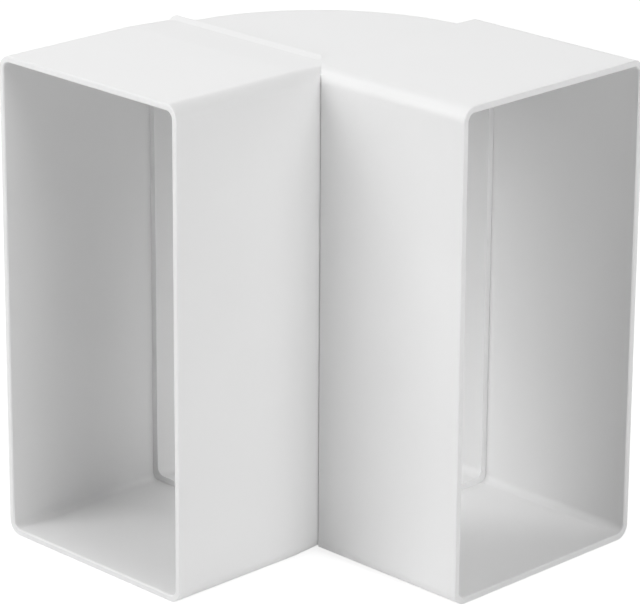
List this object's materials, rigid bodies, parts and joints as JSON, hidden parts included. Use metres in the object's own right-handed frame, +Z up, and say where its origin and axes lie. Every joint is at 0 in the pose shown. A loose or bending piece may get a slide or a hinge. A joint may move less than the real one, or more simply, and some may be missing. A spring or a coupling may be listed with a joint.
{
  "type": "flat duct vertical bend",
  "caption": "One-piece right-angle bend for flat rectangular ventilation duct, with a push-fit socket at each mouth and a quarter-round outer wall.",
  "frame": {"origin": "on the floor, under the middle of the whole piece", "axes": "+Z up along the long side of the duct section; +X out of one socket's mouth; -Y out of the other socket's mouth"},
  "size_m": [0.1, 0.1, 0.1135],
  "materials": {
    "white_plastic": "smooth white moulded plastic with a soft sheen"
  },
  "bodies": {
    "root": {"vertical_bend": "white_plastic"}
  },
  "joints": []
}
